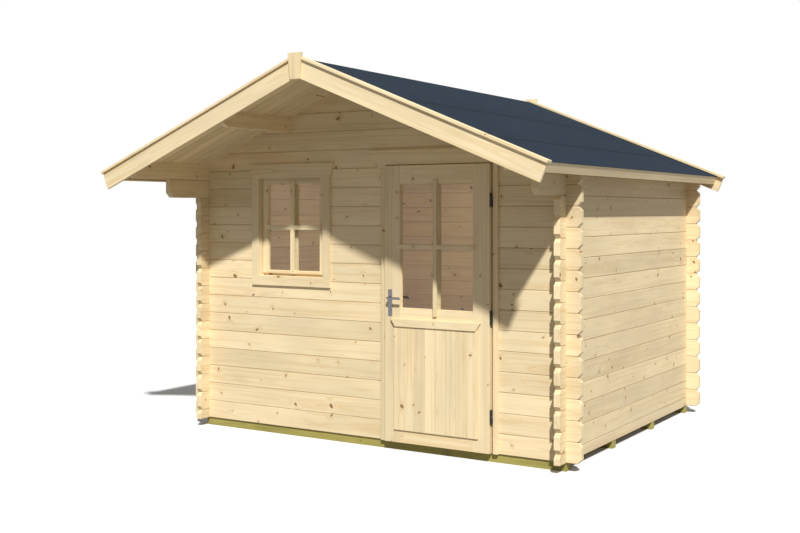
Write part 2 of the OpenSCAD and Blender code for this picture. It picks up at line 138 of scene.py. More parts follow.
class WoodSettings(bpy.types.PropertyGroup):
    """Colours and sizes of the timber."""

    early: FloatVectorProperty(
        name="Spruce", description="Pale wood between the year rings", subtype="COLOR",
        size=4, default=(0.83, 0.69, 0.44, 1))
    late: FloatVectorProperty(
        name="Dark rings", description="Darker wood of the year rings", subtype="COLOR",
        size=4, default=(0.70, 0.52, 0.275, 1))
    knot: FloatVectorProperty(
        name="Knots", description="Heart of a knot", subtype="COLOR",
        size=4, default=(0.20, 0.085, 0.028, 1))
    treated_early: FloatVectorProperty(
        name="Treated wood", description="Pressure-treated bearers", subtype="COLOR",
        size=4, default=(0.42, 0.355, 0.10, 1))
    treated_late: FloatVectorProperty(
        name="Treated rings", description="Darker rings of the bearers", subtype="COLOR",
        size=4, default=(0.25, 0.225, 0.055, 1))
    log_height: FloatProperty(
        name="Log height", description="Height of one course of logs", unit="LENGTH",
        default=0.133)
    log_edge: FloatProperty(
        name="Log edge", description="Rounding of the log edges", unit="LENGTH",
        default=0.0012)
    board_edge: FloatProperty(
        name="Board edge", description="Rounding of planed boards", unit="LENGTH",
        default=0.0018)


class RoofSettings(bpy.types.PropertyGroup):
    """Sizes and colours of the roof."""

    boards: IntProperty(
        name="Boards", description="Roof boards from front to back", default=36)
    groove: FloatProperty(
        name="Groove", description="Depth of the groove between two boards",
        unit="LENGTH", default=0.006)
    groove_half: FloatProperty(
        name="Groove half", description="Half the width of that groove",
        unit="LENGTH", default=0.005)
    laps: FloatVectorProperty(
        name="Laps", description="Distance of the two felt laps from the ridge",
        size=2, unit="LENGTH", default=(0.695, 1.295))
    lap_step: FloatProperty(
        name="Lap step", description="Thickness of one layer at a lap",
        unit="LENGTH", default=0.0019)
    # The felt slopes down over this width at each lap, and the same strip is painted dark as the
    # lap's shadow
    lap_line: FloatProperty(
        name="Lap line", description="Width of the dark line at a lap",
        unit="LENGTH", default=0.008)
    # Painted shadow: a near-black colour laid on each lap's sloped strip, standing in for the
    # shade of the upper layer's step
    painted_lap_shadow: FloatVectorProperty(
        name="Painted lap shadow", description="Dark line at a lap", subtype="COLOR", size=4,
        default=(0.006, 0.008, 0.011, 1))
    felt: FloatVectorProperty(
        name="Felt", description="Mineral felt", subtype="COLOR", size=4,
        default=(0.0125, 0.0215, 0.034, 1))
    granule: FloatVectorProperty(
        name="Granules", description="Lighter granules on the felt", subtype="COLOR",
        size=4, default=(0.030, 0.044, 0.064, 1))


class JoinerySettings(bpy.types.PropertyGroup):
    """Sizes of the door and window."""

    panel_boards: IntProperty(
        name="Panel boards", description="Upright boards of the door panel", default=8)
    floor_boards: IntProperty(
        name="Floor boards", description="Boards of the floor", default=26)
    rebate: FloatProperty(
        name="Rebate", description="How far the glass runs into the wood",
        unit="LENGTH", default=0.008)
    door_bead: FloatProperty(
        name="Door bead", description="Width of the bead round the door glass",
        unit="LENGTH", default=0.009)
    window_bead: FloatProperty(
        name="Window bead", description="Width of the bead round the window glass",
        unit="LENGTH", default=0.009)
    steel: FloatVectorProperty(
        name="Steel", description="Handle and lock plates", subtype="COLOR", size=4,
        default=(0.26, 0.26, 0.27, 1))
    iron: FloatVectorProperty(
        name="Hinges", description="Dark hinges", subtype="COLOR", size=4,
        default=(0.030, 0.026, 0.022, 1))


class StageSettings(bpy.types.PropertyGroup):
    """Light, floor and camera."""

    sun: FloatProperty(name="Sun", description="Strength of the main light", default=4.3)
    sun_angle: FloatProperty(
        name="Sun size", description="Angle that softens the shadows",
        subtype="ANGLE", default=math.radians(2.0))
    sun_way: FloatVectorProperty(
        name="Sun direction", description="The way the light travels",
        subtype="DIRECTION", default=(-0.736, 1.0, -1.143))
    fill: FloatProperty(name="Fill", description="Strength of the light all round", default=0.26)
    room: FloatProperty(
        name="Room", description="Soft light inside the house", unit="POWER", default=11.5)
    room_colour: FloatVectorProperty(
        name="Room colour", description="Colour of the light inside", subtype="COLOR",
        default=(1.0, 0.90, 0.76))
    floor: FloatVectorProperty(
        name="Floor", description="Plain pale floor", subtype="COLOR", size=4,
        default=(0.26, 0.26, 0.26, 1))
    floor_seen: FloatVectorProperty(
        name="Floor as seen", description="The floor as the camera sees it",
        subtype="COLOR", size=4, default=(0.93, 0.93, 0.93, 1))
    camera_at: FloatVectorProperty(
        name="Camera", description="Where the camera stands", subtype="TRANSLATION",
        unit="LENGTH", default=(4.2548, -7.3105, 1.6242))
    camera_turn: FloatProperty(
        name="Camera turn", description="How far the camera is turned about the upright",
        subtype="ANGLE", default=math.radians(31.93))
    lens: FloatProperty(name="Lens", description="Focal length in mm", default=50.03)
    shift: FloatProperty(
        name="Shift", description="Upright shift of the picture", default=-0.0696)


# ---------------------------------------------------------------- materials


class Tree:
    """Adds linked nodes to a node tree."""

    def __init__(self, tree):
        self.tree = tree

    def add(self, kind, inputs=None, **settings):
        made = self.tree.nodes.new(kind)
        for name, value in settings.items():
            setattr(made, name, value)
        for key, value in (inputs or {}).items():
            self.feed(made.inputs[key], value)
        return made

    def feed(self, socket, value):
        if isinstance(value, bpy.types.NodeSocket):
            self.tree.links.new(value, socket)
        else:
            socket.default_value = value

    def calc(self, operation, *values):
        made = self.add("ShaderNodeMath", operation=operation)
        for socket, value in zip(made.inputs, values):
            self.feed(socket, value)
        return made.outputs[0]

    def vector(self, operation, *values):
        made = self.add("ShaderNodeVectorMath", operation=operation)
        for socket, value in zip(made.inputs, values):
            self.feed(socket, value)
        return made.outputs["Value" if operation == "LENGTH" else "Vector"]

    def noise(self, vector, scale, detail=3.0):
        made = self.add("ShaderNodeTexNoise",
                        {"Vector": vector, "Scale": scale, "Detail": detail})
        return made.outputs["Fac"]

    def ramp(self, value, low, high, to_low=0.0, to_high=1.0):
        made = self.add("ShaderNodeMapRange", interpolation_type="SMOOTHSTEP",
                        inputs={"Value": value, "From Min": low, "From Max": high,
                                "To Min": to_low, "To Max": to_high})
        return made.outputs["Result"]

    def weigh(self, start, *parts):
        """The start value plus each mask times its weight."""
        for mask, weight in parts:
            start = self.calc("MULTIPLY_ADD", mask, weight, start)
        return start

    def mix(self, factor, a, b, blend="MIX"):
        made = self.add("ShaderNodeMix", data_type="RGBA", blend_type=blend)
        for index, value in ((0, factor), (6, a), (7, b)):
            self.feed(made.inputs[index], value)
        return made.outputs[2]


def new_group(name, inputs, outputs):
    """An empty shader group with the named sockets, and its two end nodes."""
    group = bpy.data.node_groups.new(name, "ShaderNodeTree")
    for socket, kind in inputs:
        group.interface.new_socket(name=socket, in_out="INPUT", socket_type=kind)
    for socket, kind in outputs:
        group.interface.new_socket(name=socket, in_out="OUTPUT", socket_type=kind)
    tree = Tree(group)
    return group, tree, tree.add("NodeGroupInput").outputs, tree.add("NodeGroupOutput").inputs


def grain_group():
    """Sawn softwood: year rings round a heart line, streaks, fibres and knots.

    Grain holds the place in one board: along it, across it and into it. Faces marked as lying in
    a joint get a painted shade."""
    number, colour = "NodeSocketFloat", "NodeSocketColor"
    group, tree, given, out = new_group(
        "Softwood Grain",
        [("Grain", "NodeSocketVector"), ("Tone", number), ("End", number), ("Joint Shade", number),
         ("Early", colour), ("Late", colour), ("Knot", colour), ("Knot Share", number)],
        [("Color", colour), ("Roughness", number), ("Height", number)])
    place = given["Grain"]
    split = tree.add("ShaderNodeSeparateXYZ", {"Vector": place}).outputs

    # Knots: one chance in each cell of the face, some left out, each with its
    # own slant, length and size, and an uneven edge
    cell_long, cell_wide = 0.24, 0.080
    slant, wobble = 2.4, 0.004
    smallest, growth, halo_reach = 0.0052, 0.012, 4.5
    flat = tree.vector("MULTIPLY", place, (1 / cell_long, 1 / cell_wide, 0.0))
    cells = tree.add("ShaderNodeTexVoronoi", {"Vector": flat, "Scale": 1.0},
                     voronoi_dimensions="2D").outputs
    away = tree.vector("SUBTRACT", flat, cells["Position"])
    away = tree.vector("MULTIPLY", away, (cell_long, cell_wide, 0.0))
    chance = tree.add("ShaderNodeSeparateColor", {"Color": cells["Color"]}).outputs
    turn = tree.calc("MULTIPLY", tree.calc("SUBTRACT", chance["Blue"], 0.5), slant)
    away = tree.add("ShaderNodeVectorRotate", {"Vector": away, "Angle": turn},
                    rotation_type="Z_AXIS").outputs["Vector"]
    squeeze = tree.add("ShaderNodeCombineXYZ", {
        "X": tree.calc("MULTIPLY_ADD", chance["Blue"], 0.7, 0.9), "Y": 0.68}).outputs["Vector"]
    distance = tree.vector("LENGTH", tree.vector("MULTIPLY", away, squeeze))
    uneven = tree.calc("MULTIPLY", tree.noise(place, 160.0), wobble)
    distance = tree.calc("SUBTRACT", tree.calc("ADD", distance, uneven), wobble / 2)
    present = tree.calc("LESS_THAN", chance["Red"], given["Knot Share"])
    present = tree.calc("MULTIPLY", present, tree.calc("SUBTRACT", 1.0, given["End"]))
    radius = tree.weigh(smallest, (tree.calc("POWER", chance["Green"], 2.0), growth))
    heart = tree.ramp(distance, radius, tree.calc("MULTIPLY", radius, 0.55))
    heart = tree.calc("MULTIPLY", heart, present)
    halo = tree.ramp(distance, tree.calc("MULTIPLY", radius, halo_reach), radius)
    halo = tree.calc("MULTIPLY", halo, present)

    # Year rings, bent by slow waves and round the knots
    slow = tree.noise(tree.vector("MULTIPLY", place, (1.3, 9.0, 9.0)), 1.0, 2.0)
    across = tree.vector("MULTIPLY", place, (0.0, 1.0, 1.0))
    ring_rate, streak_rate = 1700.0, 75.0
    ring = tree.weigh(tree.vector("LENGTH", across), (slow, 0.030), (halo, 0.016))
    bands = tree.weigh(0.5, (tree.calc("SINE", tree.calc("MULTIPLY", ring, ring_rate)), 0.5))
    bands = tree.calc("POWER", bands, 2.2)
    along = tree.calc("MULTIPLY", split["X"], 0.7)
    streak_at = tree.add("ShaderNodeCombineXYZ", {
        "X": along, "Y": tree.calc("MULTIPLY", ring, streak_rate)}).outputs["Vector"]
    streak = tree.ramp(tree.noise(streak_at, 1.0, 4.0), 0.42, 0.68)
    fibre = tree.noise(tree.vector("MULTIPLY", place, (9.0, 420.0, 420.0)), 1.0, 2.0)
    patch = tree.noise(tree.vector("MULTIPLY", place, (1.0, 3.0, 3.0)), 2.2, 2.0)

    # Colour, from pale to dark wood, then each board's own tone and knots, then a painted shade
    # on the faces in a joint
    dark = tree.weigh(0.0, (bands, 0.30), (streak, 0.55), (fibre, 0.14), (halo, 0.22))
    wood = tree.mix(dark, given["Early"], given["Late"])
    level = tree.weigh(0.78, (given["Tone"], 0.17), (patch, 0.30), (given["End"], 0.06))
    shade = tree.add("ShaderNodeCombineColor", {
        "Red": level, "Green": level, "Blue": level}).outputs["Color"]
    wood = tree.mix(1.0, wood, shade, "MULTIPLY")
    wood = tree.mix(tree.calc("MULTIPLY", heart, 0.88), wood, given["Knot"])
    # Painted shade: faces in a joint's groove are darkened part of the way to the knot colour,
    # standing in for the shade in the groove
    wood = tree.mix(tree.calc("MULTIPLY", given["Joint Shade"], 0.24), wood, given["Knot"])
    tree.feed(out["Color"], wood)
    tree.feed(out["Roughness"], tree.weigh(0.66, (dark, -0.12)))
    tree.feed(out["Height"], tree.weigh(0.0, (bands, 0.5), (fibre, 0.5), (heart, 0.6)))
    return group


def new_material(name):
    """An empty material, its tree and the surface socket of its output."""
    made = bpy.data.materials.new(name)
    made.use_nodes = True
    made.node_tree.nodes.clear()
    tree = Tree(made.node_tree)
    return made, tree, tree.add("ShaderNodeOutputMaterial").inputs["Surface"]


def attribute(tree, name, output):
    return tree.add("ShaderNodeAttribute", attribute_name=name).outputs[output]


def wood_material(name, grain, early, late, knot, share):
    """Planed softwood in two colours; share is how many of its knots it has."""
    made, tree, surface = new_material(name)
    # The joint mask tells the grain group where to paint shade into the grooves
    board = tree.add("ShaderNodeGroup", {
        "Grain": attribute(tree, "grain", "Vector"), "Tone": attribute(tree, "tone", "Fac"),
        "End": attribute(tree, "end", "Fac"), "Joint Shade": attribute(tree, "joint", "Fac"),
        "Early": early, "Late": late, "Knot": knot, "Knot Share": share}, node_tree=grain)
    bump = tree.add("ShaderNodeBump", {"Height": board.outputs["Height"],
                                       "Strength": 0.5, "Distance": 0.6 * MM})
    shader = tree.add("ShaderNodeBsdfPrincipled", {
        "Base Color": board.outputs["Color"], "Roughness": board.outputs["Roughness"],
        "Normal": bump.outputs["Normal"], "Specular IOR Level": 0.30})
    tree.feed(surface, shader.outputs["BSDF"])
    return made


def felt_material(settings):
    """Bitumen felt with pressed-in mineral granules, and a painted shadow line along each lap.
    """
    made, tree, surface = new_material("Mineral Felt")
    place = tree.add("ShaderNodeTexCoord").outputs["Object"]
    cells = tree.add("ShaderNodeTexVoronoi", {"Vector": place, "Scale": 420.0}).outputs
    chance = tree.add("ShaderNodeSeparateColor", {"Color": cells["Color"]}).outputs["Red"]
    light = tree.ramp(chance, 0.45, 1.0)
    worn = tree.noise(tree.vector("MULTIPLY", place, (1.0, 0.35, 1.0)), 3.2, 5.0)
    light = tree.calc("MULTIPLY", light, tree.ramp(worn, 0.25, 0.75, 0.35, 1.0))
    light = tree.calc("MULTIPLY_ADD", attribute(tree, "tone", "Fac"), 0.16, light)
    colour = tree.mix(light, settings.felt, settings.granule)
    # Painted shadow along each lap: the faces of the lap's sloped strip are mixed towards the
    # lap shadow colour
    lap_shadow_mask = tree.calc("MULTIPLY", attribute(tree, "joint", "Fac"), 0.75)
    colour = tree.mix(lap_shadow_mask, colour, settings.painted_lap_shadow)
    bump = tree.add("ShaderNodeBump", {"Height": cells["Distance"],
                                       "Strength": 0.7, "Distance": 0.8 * MM})
    shader = tree.add("ShaderNodeBsdfPrincipled", {
        "Base Color": colour, "Roughness": tree.ramp(chance, 0.0, 1.0, 0.96, 0.80),
        "Normal": bump.outputs["Normal"], "Specular IOR Level": 0.06})
    tree.feed(surface, shader.outputs["BSDF"])
    return made


def metal_material(name, colour, metallic, low, high, stretch):
    """Brushed or cast metal: roughness and tone follow a stretched noise."""
    made, tree, surface = new_material(name)
    place = tree.add("ShaderNodeTexCoord").outputs["Object"]
    brushed = tree.noise(tree.vector("MULTIPLY", place, stretch), 1.0, 4.0)
    darker = tuple(channel * 0.72 for channel in colour[:3]) + (1,)
    bump = tree.add("ShaderNodeBump", {"Height": brushed, "Strength": 0.25,
                                       "Distance": 0.3 * MM})
    shader = tree.add("ShaderNodeBsdfPrincipled", {
        "Base Color": tree.mix(brushed, darker, tuple(colour)), "Metallic": metallic,
        "Roughness": tree.ramp(brushed, 0.3, 0.7, low, high),
        "Normal": bump.outputs["Normal"]})
    tree.feed(surface, shader.outputs["BSDF"])
    return made


def glass_material():
    """Clear float glass that lets the light into the room."""
    made, tree, surface = new_material("Float Glass")
    glass = tree.add("ShaderNodeBsdfPrincipled", {
        "Base Color": (0.96, 0.985, 0.975, 1), "Roughness": 0.01, "Metallic": 0.0,
        "IOR": 1.45, "Transmission Weight": 1.0})
    clear = tree.add("ShaderNodeBsdfTransparent", {"Color": (0.93, 0.95, 0.94, 1)})
    path = tree.add("ShaderNodeLightPath").outputs
    passing = tree.calc("MAXIMUM", path["Is Shadow Ray"], path["Is Diffuse Ray"])
    mixed = tree.add("ShaderNodeMixShader", {"Fac": passing})
    tree.feed(mixed.inputs[1], glass.outputs["BSDF"])
    tree.feed(mixed.inputs[2], clear.outputs["BSDF"])
    tree.feed(surface, mixed.outputs["Shader"])
    return made


def material(name):
    """The finish of that name, made with its first use."""
    known = bpy.data.materials.get(name)
    if known:
        return known
    scene = bpy.context.scene
    wood, roof, joinery = scene.house_wood, scene.house_roof, scene.house_joinery
    if name == "Mineral Felt":
        return felt_material(roof)
    if name == "Float Glass":
        return glass_material()
    if name == "Satin Steel":
        return metal_material(name, joinery.steel, 1.0, 0.26, 0.42, (60.0, 60.0, 900.0))
    if name == "Dark Iron":
        return metal_material(name, joinery.iron, 0.4, 0.45, 0.65, (300.0, 300.0, 300.0))
    grain = bpy.data.node_groups.get("Softwood Grain") or grain_group()
    if name == "Treated Timber":
        return wood_material(name, grain, wood.treated_early, wood.treated_late, wood.knot, 0.2)
    share = {"Spruce Logs": 0.40, "Roof Boards": 0.45, "Roof Trim": 0.24, "Joinery Spruce": 0.36}
    return wood_material(name, grain, wood.early, wood.late, wood.knot, share[name])


# ---------------------------------------------------------------- meshes


def mesh_of(node):
    """A merged copy of a frame node, with its flat faces in one piece."""
    bm = bmesh.new()
    bm.from_mesh(frame["nodes"][node].data)
    bmesh.ops.remove_doubles(bm, verts=bm.verts, dist=MERGE)
    bmesh.ops.dissolve_limit(bm, angle_limit=FLAT, verts=bm.verts,
                             edges=bm.edges)
    bm.normal_update()
    return bm


def round_edges(bm, width, segments=2):
    """Rounds every outward edge that is sharper than a shallow turn."""
    sharp = [e for e in bm.edges
             if e.is_manifold and e.is_convex and e.calc_face_angle() > ROUNDED_FROM]
    bmesh.ops.bevel(bm, geom=sharp, offset=width, offset_type="OFFSET", segments=segments,
                    profile=0.5, affect="EDGES", clamp_overlap=True, material=-1)
    bm.normal_update()


def cut(bm, place, way):
    """Parts the faces along a plane."""
    bmesh.ops.bisect_plane(bm, geom=bm.verts[:] + bm.edges[:] + bm.faces[:],
                           plane_co=place, plane_no=way, dist=0.001 * MM)


def cut_grooves(bm, way, places, half, depth, facings):
    """V-grooves between boards that lie side by side along way."""
    for at in places:
        for offset in (-half, 0.0, half):
            cut(bm, way * (at + offset), way)
        bm.normal_update()
        for facing in facings:
            for v in bm.verts:
                in_line = abs(v.co.dot(way) - at) < 0.01 * MM
                if in_line and any(f.normal.dot(facing) > 0.95 for f in v.link_faces):
                    v.co -= facing * depth
    bm.normal_update()


def islands(bm):
    """The number of the separate solid that each face belongs to."""
    number, found = {}, 0
    for first in bm.faces:
        if first in number:
            continue
        number[first] = found
        waiting = [first]
        while waiting:
            for edge in waiting.pop().edges:
                for face in edge.link_faces:
                    if face not in number:
                        number[face] = found
                        waiting.append(face)
        found += 1
    return number


def lay_grain(bm, seed, member=None, along=None, joint=None):
    """Gives each board its own stretch of wood: where the grain runs, how dark
    it is, and which of its faces are end grain or lie in a joint."""
    random = Random(seed)
    place = bm.loops.layers.float_vector.new("grain")
    tone = bm.faces.layers.float.new("tone")
    end = bm.faces.layers.float.new("end")
    # This mask marks the faces in a joint, which the materials darken as painted shade
    shaded_joint = bm.faces.layers.float.new("joint")
    number = islands(bm)
    boards = {}
    for face in bm.faces:
        middle = face.calc_center_median()
        key = (number[face],) + (tuple(member(middle)) if member else ())
        boards.setdefault(key, []).append(face)
    for key in sorted(boards):
        faces = boards[key]
        points = [v.co for f in faces for v in f.verts]
        low = Vector(min(p[i] for p in points) for i in range(3))
        high = Vector(max(p[i] for p in points) for i in range(3))
        size, centre = high - low, (low + high) / 2
        run = along(key, centre) if along else (X, Y, Z)[max(range(3), key=lambda i: size[i])]
        side = X if abs(run.z) > 0.9 else (Z - run * run.z).normalized()
        inward = run.cross(side)
        start = Vector((random.uniform(0, 40), random.uniform(-0.05, 0.05),
                        random.uniform(0.02, 0.07)))
        shade = random.random()
        for face in faces:
            face[tone] = shade
            face[end] = 1.0 if abs(face.normal.dot(run)) > 0.8 else 0.0
            face[shaded_joint] = 1.0 if joint and joint(face) else 0.0
            for loop in face.loops:
                away = loop.vert.co - centre
                loop[place] = start + Vector((away.dot(run), away.dot(side), away.dot(inward)))


def show(bm, name, body, finish, nodes=(), smooth=False):
    """Makes the piece, gives it its finish and puts it on its body."""
    mesh = bpy.data.meshes.new(name)
    bm.to_mesh(mesh)
    bm.free()
    mesh.materials.append(material(finish))
    if smooth:
        mesh.shade_smooth()
        mesh.set_sharp_from_angle(angle=CRISP_FROM)
    piece = bpy.data.objects.new(name, mesh)
    bpy.context.scene.collection.objects.link(piece)
    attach(piece, body)
    if nodes:
        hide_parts(*nodes)
    return piece


def body_of(node):
    return frame["nodes"][node]["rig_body"]


def timber(node, finish, slot, width, seed, member=None, along=None, cuts=(), joint=None):
    """A frame node as planed timber."""
    bm = mesh_of(node)
    for place, way in cuts:
        cut(bm, place, way)
    round_edges(bm, width)
    lay_grain(bm, seed, member, along, joint)
    return show(bm, node + "_timber", body_of(node), finish, [node])


def course(shift):
    """Tells the logs of one stack apart by their height above the bearers."""
    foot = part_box("front_wall_lower")[0].z
    height = bpy.context.scene.house_wood.log_height

    def member(middle):
        return (math.floor((middle.z - foot) / height + shift),)

    return member


def course_joint(shift):
    """Tells the narrow grooves between two logs from the logs' faces."""
    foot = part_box("front_wall_lower")[0].z
    height = bpy.context.scene.house_wood.log_height

    def joint(face):
        rows = (face.calc_center_median().z - foot) / height + shift
        return 0.3 < abs(face.normal.z) < 0.95 and abs(rows - round(rows)) * height < 5 * MM

    return joint


def groove_joint(way, low, width, half):
    """Tells the grooves between boards of one width from the boards' faces."""
    def joint(face):
        count = (face.calc_center_median().dot(way) - low) / width
        sloped = 0.1 < abs(face.normal.dot(way)) < 0.97
        return sloped and abs(count - round(count)) * width < half

    return joint


def members(low, high):
    """Tells the uprights of a rectangular frame from its rails: low and high
    are the inner edges of its uprights."""
    def member(middle):
        return (-1 if middle.x < low else 1 if middle.x > high else 0,)

    def along(key, centre):
        return Z if key[1] else X

    return member, along


# ---------------------------------------------------------------- operators


class HouseOperator(bpy.types.Operator):
    """Shared settings of the operators."""

    bl_options = {"REGISTER", "UNDO"}


class HOUSE_OT_walls(HouseOperator):
    """Interlocking logs of the walls, gables, brackets and plates"""

    bl_idname = "house.walls"
    bl_label = "Log Walls"

    def execute(self, context):
        edge = context.scene.house_wood.log_edge
        crosswise = ("front_wall_lower", "front_wall_left", "front_wall_middle",
                     "front_wall_right", "front_gable", "rear_wall", "rear_gable")
        lengthwise = ("left_wall", "right_wall", "bracket_logs", "plate_logs")
        for names, shift, run, first in ((crosswise, 0.0, X, 11), (lengthwise, 0.5, Y, 61)):
            for seed, node in enumerate(names, first):
                timber(node, "Spruce Logs", "spruce", edge, seed, course(shift),
                       lambda key, centre, run=run: run, joint=course_joint(shift))
        return {"FINISHED"}


class HOUSE_OT_roof_boards(HouseOperator):
    """Purlins, and tongued boards from the eaves to the ridge"""

    bl_idname = "house.roof_boards"
    bl_label = "Roof Boards"

    def execute(self, context):
        roof = context.scene.house_roof
        timber("roof_purlins", "Roof Boards", "spruce", PURLIN_EDGE, 31)
        for seed, node in enumerate(("roof_boards_left", "roof_boards_right"), 32):
            bm = mesh_of(node)
            low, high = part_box(node)
            width = (high.y - low.y) / roof.boards
            under = min((f.normal.copy() for f in bm.faces), key=lambda n: n.z)
            places = [low.y + width * n for n in range(1, roof.boards)]
            cut_grooves(bm, Y, places, roof.groove_half, roof.groove, [under])
            slope = Y.cross(under).normalized()
            lay_grain(bm, seed, lambda m: (math.floor((m.y - low.y) / width),),
                      lambda key, centre: slope,
                      groove_joint(Y, low.y, width, roof.groove_half))
            show(bm, node + "_planks", "house", "Roof Boards", [node])
        return {"FINISHED"}


class HOUSE_OT_felt(HouseOperator):
    """Mineral felt in three strips on each slope"""

    bl_idname = "house.felt"
    bl_label = "Roofing Felt"

    def execute(self, context):
        roof = context.scene.house_roof
        for side, node in ((-1, "felt_left"), (1, "felt_right")):
            bm = mesh_of(node)
            up = max((f.normal.copy() for f in bm.faces), key=lambda n: n.z)
            for lap in roof.laps:
                for at in (lap, lap + roof.lap_line):
                    cut(bm, X * side * at, X)
                bm.normal_update()
                for v in bm.verts:
                    beyond = v.co.x * side > lap + roof.lap_line / 2
                    if beyond and any(f.normal.dot(up) > 0.95 for f in v.link_faces):
                        v.co -= up * roof.lap_step
            bm.normal_update()
            # The faces of each lap's sloped strip are marked as a joint, so that the felt
            # material paints its shadow line there
            lay_grain(bm, 41 + side,
                      lambda m: (sum(m.x * side > lap for lap in roof.laps),),
                      joint=lambda face: any(
                          0 < face.calc_center_median().x * side - lap < roof.lap_line
                          for lap in roof.laps))
            show(bm, node + "_strips", "house", "Mineral Felt", [node])
        return {"FINISHED"}


class HOUSE_OT_roof_trim(HouseOperator):
    """Barge boards, cover strips, fascias and keystones"""

    bl_idname = "house.roof_trim"
    bl_label = "Roof Trim"

    def execute(self, context):
        edge = context.scene.house_wood.board_edge
        bm = mesh_of("felt_right")
        slope = max((f.normal.copy() for f in bm.faces), key=lambda n: n.z)
        bm.free()
        down = Y.cross(slope).normalized()
        other = Vector((-down.x, 0, down.z))

        def along(key, centre):
            return down if centre.x > 0 else other

        for seed, node in enumerate(("front_barge_boards", "rear_barge_boards",
                                     "front_cover_strips", "rear_cover_strips"), 51):
            timber(node, "Roof Trim", "trim", edge, seed, along=along)
        timber("eave_fascias", "Roof Trim", "trim", TRIM_EDGE, 55)
        timber("ridge_keystones", "Roof Trim", "trim", TRIM_EDGE, 56,
               along=lambda key, centre: Z)
        return {"FINISHED"}


class HOUSE_OT_base(HouseOperator):
    """Treated bearers and the boarded floor"""

    bl_idname = "house.base"
    bl_label = "Base"

    def execute(self, context):
        timber("bearers", "Treated Timber", "treated_timber", BEARER_EDGE, 61)
        count = context.scene.house_joinery.floor_boards
        bm = mesh_of("floor_deck")
        low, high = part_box("floor_deck")
        width = (high.y - low.y) / count
        half, depth = FLOOR_GROOVE
        cut_grooves(bm, Y, [low.y + width * n for n in range(1, count)], half, depth, [Z])
        lay_grain(bm, 62, lambda m: (math.floor((m.y - low.y) / width),),
                  lambda key, centre: X, groove_joint(Y, low.y, width, half))
        show(bm, "floor_boards", "house", "Roof Boards", ["floor_deck"])
        return {"FINISHED"}


def glazing_bead(name, glass, body, width, y_wood, y_glass, seed):
    """A bevelled bead round a pane, between the wood's face and the glass."""
    rebate = bpy.context.scene.house_joinery.rebate
    low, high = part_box(glass)
    size = Vector((high.x - low.x - 2 * rebate, high.z - low.z - 2 * rebate))
    centre = Vector(((low.x + high.x) / 2, y_glass, (low.z + high.z) / 2))
    bm = bmesh.new()
    bmesh.ops.create_grid(bm, x_segments=1, y_segments=1, size=0.5)
    bmesh.ops.scale(bm, vec=(size.x, size.y, 1), verts=bm.verts)
    bmesh.ops.rotate(bm, cent=(0, 0, 0), matrix=Matrix.Rotation(math.pi / 2, 3, "X"),
                     verts=bm.verts)
    bmesh.ops.translate(bm, vec=centre, verts=bm.verts)
    middle = bm.faces[:]
    ring = bmesh.ops.inset_region(bm, faces=middle, thickness=width, use_even_offset=True,
                                  use_boundary=True)["faces"]
    bmesh.ops.delete(bm, geom=middle, context="FACES")
    raised = bmesh.ops.extrude_face_region(bm, geom=ring)["geom"]
    front = [g for g in raised if isinstance(g, bmesh.types.BMVert)]
    bmesh.ops.translate(bm, vec=(0, y_wood - y_glass, 0), verts=front)
    for v in front:
        if abs(v.co.x - centre.x) < size.x / 2 - width / 2:
            v.co.x += math.copysign(width * 0.6, v.co.x - centre.x)
            v.co.z += math.copysign(width * 0.6, v.co.z - centre.z)
    bmesh.ops.recalc_face_normals(bm, faces=bm.faces)
    round_edges(bm, BEAD_EDGE, 1)
    inner_x = size.x / 2 - width
    lay_grain(bm, seed, *members(centre.x - inner_x, centre.x + inner_x))
    return show(bm, name, body, "Joinery Spruce")


def cross_bars(node, seed):
    """The crossing bars on both faces of a sash or leaf."""
    low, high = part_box(node)
    middle = (low.x + high.x) / 2
    cuts = [(X * (middle - BAR_HALF), X), (X * (middle + BAR_HALF), X)]

    def member(place):
        return (int(abs(place.x - middle) < BAR_HALF),)

    timber(node, "Joinery Spruce", "joinery", BAR_EDGE, seed, member,
           lambda key, centre: Z if key[1] else X, cuts)


class HOUSE_OT_window(HouseOperator):
    """Window frame, sash, bars, beads and casing"""

    bl_idname = "house.window"
    bl_label = "Window"

    def execute(self, context):
        joinery = context.scene.house_joinery
        edge = context.scene.house_wood.board_edge
        pane_low, pane_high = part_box("window_glass")
        sash_low = pane_low.x + joinery.rebate
        sash_high = pane_high.x - joinery.rebate
        frame_low, frame_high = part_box("window_frame")
        inner = (frame_low.x + WINDOW_FRAME_W, frame_high.x - WINDOW_FRAME_W)
        for seed, node, low, high in ((71, "window_sash", sash_low, sash_high),
                                      (72, "window_frame", *inner)):
            cuts = [(X * low, X), (X * high, X)]
            timber(node, "Joinery Spruce", "joinery", edge, seed, *members(low, high), cuts)
        for seed, node in enumerate(("window_posts", "window_boards"), 73):
            timber(node, "Joinery Spruce", "joinery", edge, seed)
        cross_bars("window_bars", 75)
        front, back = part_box("window_sash")[0].y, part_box("window_sash")[1].y
        glazing_bead("window_bead_outside", "window_glass", "house", joinery.window_bead,
                     front + WINDOW_BEAD_SET[0], pane_low.y, 76)
        glazing_bead("window_bead_inside", "window_glass", "house", joinery.window_bead,
                     back - WINDOW_BEAD_SET[1], pane_high.y, 77)
        return {"FINISHED"}


class HOUSE_OT_door_casing(HouseOperator):
    """Jambs, threshold and casing of the door"""

    bl_idname = "house.door_casing"
    bl_label = "Door Casing"

    def execute(self, context):
        edge = context.scene.house_wood.board_edge
        for seed, node in enumerate(("door_jambs", "door_head_jamb", "door_threshold",
                                     "door_posts", "door_head_board"), 81):
            timber(node, "Joinery Spruce", "joinery", edge, seed)
        return {"FINISHED"}


